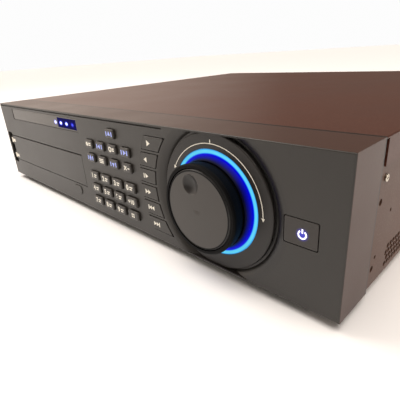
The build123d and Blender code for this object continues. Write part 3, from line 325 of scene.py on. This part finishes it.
def litStrip(look):  # smoked acrylic: spots of light in a blue window, dark elsewhere
    material, tree, shader, place = startMaterial(look["name"])
    blotch = addNode(tree, "ShaderNodeTexNoise", None, {
        "Vector": place, "Scale": 1 / (look["blotchMm"] * mm), "Detail": 2.0})
    tint = addNode(tree, "ShaderNodeMix", {"data_type": "RGBA"}, {
        0: blotch.outputs[0], 6: toLinear(look["dark"]), 7: toLinear(look["light"])})
    spots = None
    squash = look["squash"]  # spots are wider than high
    flattened = addNode(tree, "ShaderNodeMapping", None, {"Vector": place, "Scale": (1, 0, squash)})
    for x, power in look["spots"]:
        reach = addNode(tree, "ShaderNodeVectorMath", {"operation": "DISTANCE"}, {
            0: flattened.outputs[0], 1: (x, 0, look["spotZ"] * squash)})
        glow = addNode(tree, "ShaderNodeMapRange", {"interpolation_type": "SMOOTHERSTEP"}, {
            0: reach.outputs["Value"], 1: 0.0, 2: look["spotMm"] * mm, 3: power, 4: 0.0})
        spots = glow.outputs[0] if spots is None else addNode(
            tree, "ShaderNodeMath", {"operation": "ADD"}, {0: spots, 1: glow.outputs[0]}).outputs[0]
    ramp = addNode(tree, "ShaderNodeValToRGB", None, {0: spots})
    fillRamp(ramp, look["stops"])
    strength = addNode(tree, "ShaderNodeMath", {"operation": "MULTIPLY_ADD"}, {
        0: spots, 1: look["spotStrength"], 2: look["windowStrength"]})
    tree.links.new(tint.outputs[2], shader.inputs["Base Color"])
    tree.links.new(ramp.outputs[0], shader.inputs["Emission Color"])
    tree.links.new(strength.outputs[0], shader.inputs["Emission Strength"])
    shader.inputs["Roughness"].default_value = look["rough"]
    shader.inputs["IOR"].default_value = look["IOR"]
    return material


ledCount = 4
ledInset = 1.5 * mm  # from the row's end to the first light's middle
ledPitch = (ledHigh[0] - ledLow[0] - 2 * ledInset) / (ledCount - 1)
ledX = [ledLow[0] + ledInset + ledPitch * i for i in range(ledCount)]
ledZ = (ledLow[2] + ledHigh[2]) / 2
smokedAcrylic = litStrip({
    "name": "smokedAcrylic", "dark": "3a352f", "light": "464038", "blotchMm": 40.0, "squash": 1.5,
    "spots": [(ledX[0], 1.0)], "spotZ": ledZ, "spotMm": 5.5, "spotStrength": 1.5, "windowStrength": 0.0,
    "rough": 0.3, "IOR": 1.49,
    "stops": [(0.0, "1a1060"), (0.35, "3c34c0"), (0.6, "8a90ff"), (0.85, "f0f2ff")]})
# The window let into the strip is dyed blue and matt, so that it stays dark round the lights.
dyedAcrylic = litStrip({
    "name": "blueDyedAcrylic", "dark": "04042a", "light": "080838", "blotchMm": 20.0, "squash": 1.5,
    "spots": list(zip(ledX, (1.0, 1.0, 0.95, 0.4))), "spotZ": ledZ, "spotMm": 4.6, "spotStrength": 1.6,
    "windowStrength": 0.8, "rough": 0.5, "IOR": 1.05,
    "stops": [(0.0, "06064a"), (0.2, "1c1cb0"), (0.5, "5a68ff"), (0.8, "e8ecff")]})


def backlitButton(look):  # key ABS that lets a soft halo through round its sign
    material, tree, shader, place = startMaterial(look["name"])
    reach = addNode(tree, "ShaderNodeVectorMath", {"operation": "DISTANCE"}, {0: place, 1: look["centre"]})
    halo = addNode(tree, "ShaderNodeMapRange", {"interpolation_type": "SMOOTHSTEP"}, {
        0: reach.outputs["Value"], 1: 1.0 * mm, 2: look["haloMm"] * mm, 3: look["strength"], 4: 0.0})
    grain = addNode(tree, "ShaderNodeTexNoise", None, {
        "Vector": place, "Scale": 1 / (look["grainMm"] * mm), "Detail": 2.0})
    bump = addNode(tree, "ShaderNodeBump", None, {
        "Height": grain.outputs[0], "Strength": 0.15, "Distance": look["grainMm"] * mm * 0.25})
    tree.links.new(bump.outputs[0], shader.inputs["Normal"])
    tree.links.new(halo.outputs[0], shader.inputs["Emission Strength"])
    shader.inputs["Base Color"].default_value = toLinear(look["base"])
    shader.inputs["Emission Color"].default_value = toLinear(look["glow"])
    shader.inputs["Roughness"].default_value = 0.42
    return material


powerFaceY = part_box("power_button")[0][1]
powerMark = (powerX + 1.0 * mm, powerZ - 0.6 * mm)  # the sign stands a little off the button's middle
powerAbs = backlitButton({
    "name": "backlitPowerAbs", "base": "2c2825", "glow": "2a33ff", "haloMm": 4.2, "strength": 0.5,
    "grainMm": 0.8, "centre": (powerMark[0], powerFaceY, powerMark[1])})

ledEpoxy, _, ledShader, _ = startMaterial("clearLedEpoxy")  # lamps behind the strip
ledShader.inputs["Base Color"].default_value = toLinear("e8ecff")
ledShader.inputs["Emission Color"].default_value = toLinear("c8d4ff")
ledShader.inputs["Emission Strength"].default_value = 2.0

keyNames = [name for name in nodes if name.startswith(("key_", "number_key_"))]
transportNames = ["play_key", "reverse_key", "slow_key", "fast_key", "previous_key", "next_key"]
finishes = [
    (frontAbs, ["front_bezel", "drive_door", "door_release", *transportNames]),
    (keyAbs, keyNames),
    (discAbs, ["dial_surround"]),
    (dialPaint, ["jog_dial"]),
    (ringAbs, ["shuttle_ring"]),
    (glowAcrylic, ["light_ring"]),
    (smokedAcrylic, ["window_strip"]),
    (ledEpoxy, ["status_leds"]),
    (powerAbs, ["power_button"]),
    (coverEnamel, ["top_cover"]),
    (sideEnamel, ["chassis_base"]),
    (brightSteel, ["case_screws", "door_hinges"]),
    (softRubber, ["rubber_feet"]),
    (zincSheet, ["rear_panel", "data_sockets", "front_usb_sockets", "power_supply", "drive_cage"]),
    (nickel, ["bnc_sockets"]),
    (blackNylon, ["rca_sockets", "power_inlet", "power_rocker", "fan_frames", "left_fan_rotor",
                  "right_fan_rotor", "dial_encoder"]),
    (laminate, ["front_board", "main_board"]),
    (blackAnodised, ["heat_sink"]),
    (castAluminium, ["hard_drives"]),
]
for finish, names in finishes:
    for name in names:
        nodes[name].data.materials.clear()
        nodes[name].data.materials.append(finish)
print("parts finished:", sum(len(names) for _, names in finishes), "of", len(nodes))


sharpAngle = math.radians(32)  # an edge that turns more than this is shaded sharp


def addPiece(bm, name, material, body):
    bmesh.ops.recalc_face_normals(bm, faces=bm.faces[:])
    for face in bm.faces:
        face.smooth = True
    for edge in bm.edges:
        if len(edge.link_faces) != 2 or edge.calc_face_angle(0) > sharpAngle:
            edge.smooth = False
    mesh = bpy.data.meshes.new(name)
    bm.to_mesh(mesh)
    bm.free()
    obj = bpy.data.objects.new(name, mesh)
    bpy.context.scene.collection.objects.link(obj)
    mesh.materials.append(material)
    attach(obj, body)
    return obj


upright = Matrix.Rotation(math.radians(90), 4, "X")  # turns a flat shape up to face the front
lift = 0.01 * mm  # keeps a sign's underside off the face that it is printed on


def flatPlace(x, z, turn=0.0, wide=1.0, high=1.0):  # where a flat shape goes on a sign
    return (upright @ Matrix.Translation((x * mm, z * mm, 0))
            @ Matrix.Rotation(math.radians(turn), 4, "Z") @ Matrix.Diagonal((wide * mm, high * mm, 1, 1)))


def textShape(bm, text, size, x, z):
    curve = bpy.data.curves.new("digits", "FONT")
    curve.body = text
    curve.size = size * mm
    curve.align_x = "CENTER"
    curve.align_y = "CENTER"
    curve.offset = size * mm * 0.035
    holder = bpy.data.objects.new("digits", curve)
    bpy.context.scene.collection.objects.link(holder)
    mesh = bpy.data.meshes.new_from_object(holder.evaluated_get(bpy.context.evaluated_depsgraph_get()))
    mesh.transform(upright @ Matrix.Translation((x * mm, z * mm, 0)))
    bm.from_mesh(mesh)
    bpy.data.objects.remove(holder)
    bpy.data.curves.remove(curve)
    bpy.data.meshes.remove(mesh)


def ringShape(bm, outer, inner, x, z, start=0.0, sweep=360.0):  # a flat band made by spinning its edge
    angle = math.radians(start)
    ends = [Vector((x + r * math.cos(angle), 0, z + r * math.sin(angle))) * mm for r in (inner, outer)]
    verts = [bm.verts.new(end) for end in ends]
    edge = bm.edges.new(verts)
    bmesh.ops.spin(bm, geom=verts + [edge], cent=(x * mm, 0, z * mm), axis=(0, -1, 0),
                   angle=math.radians(sweep), steps=max(6, int(abs(sweep) / 6)), use_merge=sweep == 360.0)


# Extrudes flat shapes, in mm round a centre, into one thin piece; raised below 0 faces the back.
def addSign(name, shapes, centre, faceY, material, body, raised=0.05):
    bm = bmesh.new()
    for kind, *values in shapes:
        if kind == "corner":  # a regular shape: corners, radius, x, z, turn
            corners, radius, x, z, turn = values
            bmesh.ops.create_circle(bm, cap_ends=True, segments=corners, radius=1.0,
                                    matrix=flatPlace(x, z, turn - 90, radius, radius))
        elif kind == "bar":  # width, height, x, z, turn
            wide, high, x, z, turn = values
            bmesh.ops.create_grid(bm, x_segments=1, y_segments=1, size=0.5,
                                  matrix=flatPlace(x, z, turn, wide, high))
        elif kind == "ring":
            ringShape(bm, *values)
        else:
            textShape(bm, *values)
    bmesh.ops.remove_doubles(bm, verts=bm.verts[:], dist=0.002 * mm)
    made = bmesh.ops.extrude_face_region(bm, geom=bm.faces[:])
    top = [item for item in made["geom"] if isinstance(item, bmesh.types.BMVert)]
    bmesh.ops.translate(bm, verts=top, vec=(0, -raised * mm, 0))
    bmesh.ops.translate(bm, verts=bm.verts[:], vec=(centre[0], faceY, centre[1]))
    return addPiece(bm, name, material, body)


def arrow(turn, size=2.3):
    return [("corner", 3, size, 0, 0, turn)]


flanks = [("bar", 1.2, 3.6, x, 0, 0) for x in (-3.6, 3.6)]  # lit bars beside the sign
keySigns = {
    "key_up": arrow(90) + flanks,
    "key_left": arrow(180) + flanks,
    "key_right": arrow(0) + flanks,
    "key_down": arrow(-90) + flanks,
    "key_enter": [("ring", 2.2, 1.1, -1.6, 0), ("bar", 3.0, 1.0, 2.6, 0.8, 0),
                  ("bar", 3.0, 1.0, 2.6, -0.8, 0)],
    "key_record": [("corner", 20, 1.8, -2.0, 0, 0), ("bar", 3.6, 1.0, 2.2, 0.8, 0),
                   ("bar", 3.6, 1.0, 2.2, -0.8, 0)],
    "key_shift": [("corner", 3, 2.2, 0, 0.7, 90), ("bar", 1.6, 2.0, 0, -1.1, 0)] + flanks,
    "key_function": [("bar", 6.4, 0.9, 0, z, 0) for z in (1.4, 0, -1.4)],
    "key_escape": [("bar", 4.4, 1.1, -1.2, 0, 45), ("bar", 4.4, 1.1, -1.2, 0, -45),
                   ("bar", 2.4, 1.0, 3.0, 0, 0)],
    "key_plus_ten": [("text", "+10", 5.2, 0, 0)],
    "key_split_view": [("bar", 1.6, 1.4, x, z, 0) for x in (-1.1, 1.1) for z in (-1.0, 1.0)],
}
for digit in range(10):  # a digit, and plain bars where small letters would be
    keySigns[f"number_key_{digit}"] = [
        ("text", str(digit), 6.0, -2.4, 0), ("bar", 4.0, 1.1, 2.4, 0.9, 0), ("bar", 3.2, 1.1, 2.0, -0.9, 0)]
blueLit = ("key_up", "key_left", "key_right", "key_shift", "key_down")
for name, shapes in keySigns.items():
    centre = middle(name)
    addSign(name + "_sign", shapes, (centre.x, centre.z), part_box(name)[0][1] + lift,
            blueInk if name in blueLit else whiteInk, name + "_cap")

transportSigns = {
    "play_key": [("corner", 3, 2.5, 0, 0, 0)],
    "reverse_key": [("corner", 3, 2.3, 0, 0, 180)],
    "slow_key": [("bar", 1.0, 3.6, -1.8, 0, 0), ("corner", 3, 2.1, 0.9, 0, 0)],
    "fast_key": [("corner", 3, 2.1, -1.5, 0, 0), ("corner", 3, 2.1, 1.7, 0, 0)],
    "previous_key": [("bar", 1.0, 3.6, -2.9, 0, 0), ("corner", 3, 2.0, -0.5, 0, 180),
                     ("corner", 3, 2.0, 2.5, 0, 180)],
    "next_key": [("corner", 3, 2.0, -2.5, 0, 0), ("corner", 3, 2.0, 0.5, 0, 0), ("bar", 1.0, 3.6, 2.9, 0, 0)],
}
keyColumn = {"radius": 71.0, "inset": 6.2}  # the keys' outer ends lie on this circle about the dial, in mm
for name, shapes in transportSigns.items():
    low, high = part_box(name)
    signZ = (low[2] + high[2]) / 2
    chord = math.sqrt((keyColumn["radius"] * mm) ** 2 - (signZ - dialZ) ** 2)
    signX = dialX - chord + keyColumn["inset"] * mm
    addSign(name + "_sign", shapes, (signX, signZ), low[1] + lift, whiteInk, name + "_cap")

addSign("power_sign", [("ring", 2.6, 1.7, 0, 0, 125, 290), ("bar", 0.9, 2.4, 0, 1.9, 0)], powerMark,
        powerFaceY + lift, whiteResin, "power_button_cap")

ptfe = surfaceFinish({  # white insulators of the camera sockets
    "name": "whitePtfe", "dark": "dcdad2", "light": "f0eee8", "blotchMm": 3.0, "grainMm": 0.6,
    "rough": 0.5, "roughSpread": 0.05, "bump": 0.05, "IOR": 1.38})
redNylon = surfaceFinish({  # right audio
    "name": "redNylon", "dark": "8e1410", "light": "a81c16", "blotchMm": 3.0, "grainMm": 0.6,
    "rough": 0.45, "roughSpread": 0.05, "bump": 0.05, "IOR": 1.52})
whiteNylon = surfaceFinish({  # left audio
    "name": "whiteNylon", "dark": "cfccc2", "light": "e6e3da", "blotchMm": 3.0, "grainMm": 0.6,
    "rough": 0.45, "roughSpread": 0.05, "bump": 0.05, "IOR": 1.52})

insulators = {  # rings in the camera sockets, in mm: x from the middle, z from the floor
    "x": [204 - 14.5 * i for i in range(8)] + [84], "z": (73, 53), "outer": 2.3, "inner": 0.8,
    "depth": 2.5, "raised": -0.1}
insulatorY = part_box("bnc_sockets")[1][1] - insulators["depth"] * mm - lift
insulatorRings = [("ring", insulators["outer"], insulators["inner"], x, z)
                  for x in insulators["x"] for z in insulators["z"]]
addSign("bnc_insulators", insulatorRings, (0, 0), insulatorY, ptfe, "case",
        insulators["raised"])

inserts = {  # coloured rings in the audio jacks
    "columns": {203: redNylon, 189: whiteNylon}, "z": (20.5, 34.5), "outer": 3.6, "inner": 1.7,
    "depth": 2.5, "raised": -0.3}
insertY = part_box("rca_sockets")[1][1] - inserts["depth"] * mm - lift
for x, nylon in inserts["columns"].items():
    addSign(f"audio_insert_{x}", [("ring", inserts["outer"], inserts["inner"], x, z) for z in inserts["z"]],
            (0, 0), insertY, nylon, "case", inserts["raised"])

# The blue window starts past the first light and ends near the strip's right end.
window = {"left": ledX[0] / mm + 4.5, "right": stripHigh[0] / mm - 1.5, "margin": 1.4}
windowWide = window["right"] - window["left"]
windowHigh = (stripHigh[2] - stripLow[2]) / mm - 2 * window["margin"]
windowPlace = ((window["right"] + window["left"]) / 2, (stripHigh[2] + stripLow[2]) / 2 / mm)
addSign("strip_window", [("bar", windowWide, windowHigh, *windowPlace, 0)], (0, 0), stripLow[1] + lift,
        dyedAcrylic, "case")

gap = {"outer": 24.9, "inner": 24.2, "depth": 0.15}  # painted shade: a thin black band just inside the jog dial's rim, for the shade in the gap beside the shuttle ring
addSign("jog_gap_shade", [("ring", gap["outer"], gap["inner"], 0, 0)], (dialX, dialZ),
        dialFaceY + gap["depth"] * mm, ringAbs, "jog")

scale = {  # the printed arc round the dial, with an arrow at each end and a mark at the top
    "radius": 37.5, "width": 0.5, "startDeg": 0.0, "sweepDeg": 151.0, "raised": 0.06, "arrow": 1.4,
    "arrowDrop": 0.4, "markWide": 0.7, "markHigh": 2.4}
endDeg = scale["startDeg"] + scale["sweepDeg"]
endX = scale["radius"] * math.cos(math.radians(endDeg))
endZ = scale["radius"] * math.sin(math.radians(endDeg))
addSign("speed_scale", [
    ("ring", scale["radius"] + scale["width"] / 2, scale["radius"] - scale["width"] / 2, 0, 0,
     scale["startDeg"], scale["sweepDeg"]),
    ("corner", 3, scale["arrow"], scale["radius"], -scale["arrowDrop"], -90),
    ("corner", 3, scale["arrow"], endX, endZ, endDeg - 270),
    ("bar", scale["markWide"], scale["markHigh"], 0, scale["radius"] + scale["markHigh"] / 2, 0),
], (dialX, dialZ), surroundY + lift, whiteInk, "case", scale["raised"])
print("signs printed:", len(keySigns) + len(transportSigns), "keys, the button and the scale")


floorHalf = 12.0  # metres from the middle to an edge
floorBm = bmesh.new()
bmesh.ops.create_grid(floorBm, x_segments=1, y_segments=1, size=floorHalf)
floorMesh = bpy.data.meshes.new("floor")
floorBm.to_mesh(floorMesh)
floorBm.free()
floor = bpy.data.objects.new("floor", floorMesh)
bpy.context.scene.collection.objects.link(floor)
floorPaint, _, floorShader, _ = startMaterial("paleFloorPaint")  # plain matt white studio floor
floorShader.inputs["Base Color"].default_value = toLinear("f8fafc")
floorShader.inputs["Roughness"].default_value = 0.9
floorMesh.materials.append(floorPaint)

world = bpy.data.worlds.new("studio")
world.use_nodes = True
# The room is white where it is seen, and lights the recorder warmly, most from the left.
air = {"seen": 0.98, "cast": 0.22, "glow": 1.6, "towards": (-1.0, -0.1, 0.0), "spread": (0.45, 0.97),
       "tone": "fff0e2"}
studio = world.node_tree
sky = studio.nodes["Background"]
leftward = addNode(studio, "ShaderNodeVectorMath", {"operation": "DOT_PRODUCT"}, {
    0: addNode(studio, "ShaderNodeTexCoord").outputs["Generated"], 1: air["towards"]})
cast = addNode(studio, "ShaderNodeMapRange", None, {
    0: leftward.outputs["Value"], 1: air["spread"][0], 2: air["spread"][1], 3: air["cast"], 4: air["glow"]})
seen = addNode(studio, "ShaderNodeLightPath").outputs["Is Camera Ray"]
level = addNode(studio, "ShaderNodeMix", {"data_type": "FLOAT"}, {
    0: seen, 2: cast.outputs[0], 3: air["seen"]})
tone = addNode(studio, "ShaderNodeMix", {"data_type": "RGBA"}, {
    0: seen, 6: toLinear(air["tone"]), 7: (1, 1, 1, 1)})
studio.links.new(tone.outputs[2], sky.inputs[0])
studio.links.new(level.outputs[0], sky.inputs[1])
bpy.context.scene.world = world
bpy.context.scene.view_settings.view_transform = "Standard"

lamps = [
    {"name": "daylight", "kind": "SUN", "place": (0.3, -0.2, 1.5), "aim": (0, 0, 0), "spreadDeg": 55,
     "power": 2.6, "tone": "fff4ea"},
    {"name": "leftSoftbox", "kind": "AREA", "place": (-1.1, -0.6, 1.5), "aim": (0, -0.2, 0.05), "size": 0.9,
     "power": 16, "tone": "fff6ee"},
    {"name": "rightGlow", "kind": "SPOT", "place": (1.25, 0.25, 0.3), "aim": (0.22, 0.02, -0.12),
     "spreadDeg": 30, "size": 0.05, "power": 28, "tone": "ffe0cc"},
]
for lamp in lamps:
    light = bpy.data.lights.new(lamp["name"], lamp["kind"])
    if lamp["kind"] == "SUN":
        light.angle = math.radians(lamp["spreadDeg"])
    elif lamp["kind"] == "SPOT":
        light.spot_size = math.radians(lamp["spreadDeg"])
        light.spot_blend = 1.0
        light.shadow_soft_size = lamp["size"]
    else:
        light.size = lamp["size"]
    light.energy = lamp["power"]
    light.color = toLinear(lamp["tone"])[:3]
    holder = bpy.data.objects.new(lamp["name"], light)
    holder.location = lamp["place"]
    holder.rotation_mode = "QUATERNION"
    holder.rotation_quaternion = (Vector(lamp["aim"]) - Vector(lamp["place"])).to_track_quat("-Z", "Y")
    bpy.context.scene.collection.objects.link(holder)

eye = {"place": (0.27579, -0.36372, 0.13665), "forward": (-0.66854, 0.63858, -0.38114),
       "up": (-0.22821, 0.31163, 0.92239), "lens": 32.03}
camera = bpy.data.cameras.new("camera")
camera.sensor_width = 36.0
camera.lens = eye["lens"]
camera.clip_start = 0.01
cameraHolder = bpy.data.objects.new("camera", camera)
forward = Vector(eye["forward"]).normalized()
rightward = forward.cross(Vector(eye["up"])).normalized()
upward = rightward.cross(forward)
turned = Matrix((rightward, upward, -forward)).transposed().to_4x4()
cameraHolder.matrix_world = Matrix.Translation(eye["place"]) @ turned
bpy.context.scene.collection.objects.link(cameraHolder)
bpy.context.scene.camera = cameraHolder
print("studio set")

bpy.context.view_layer.update()
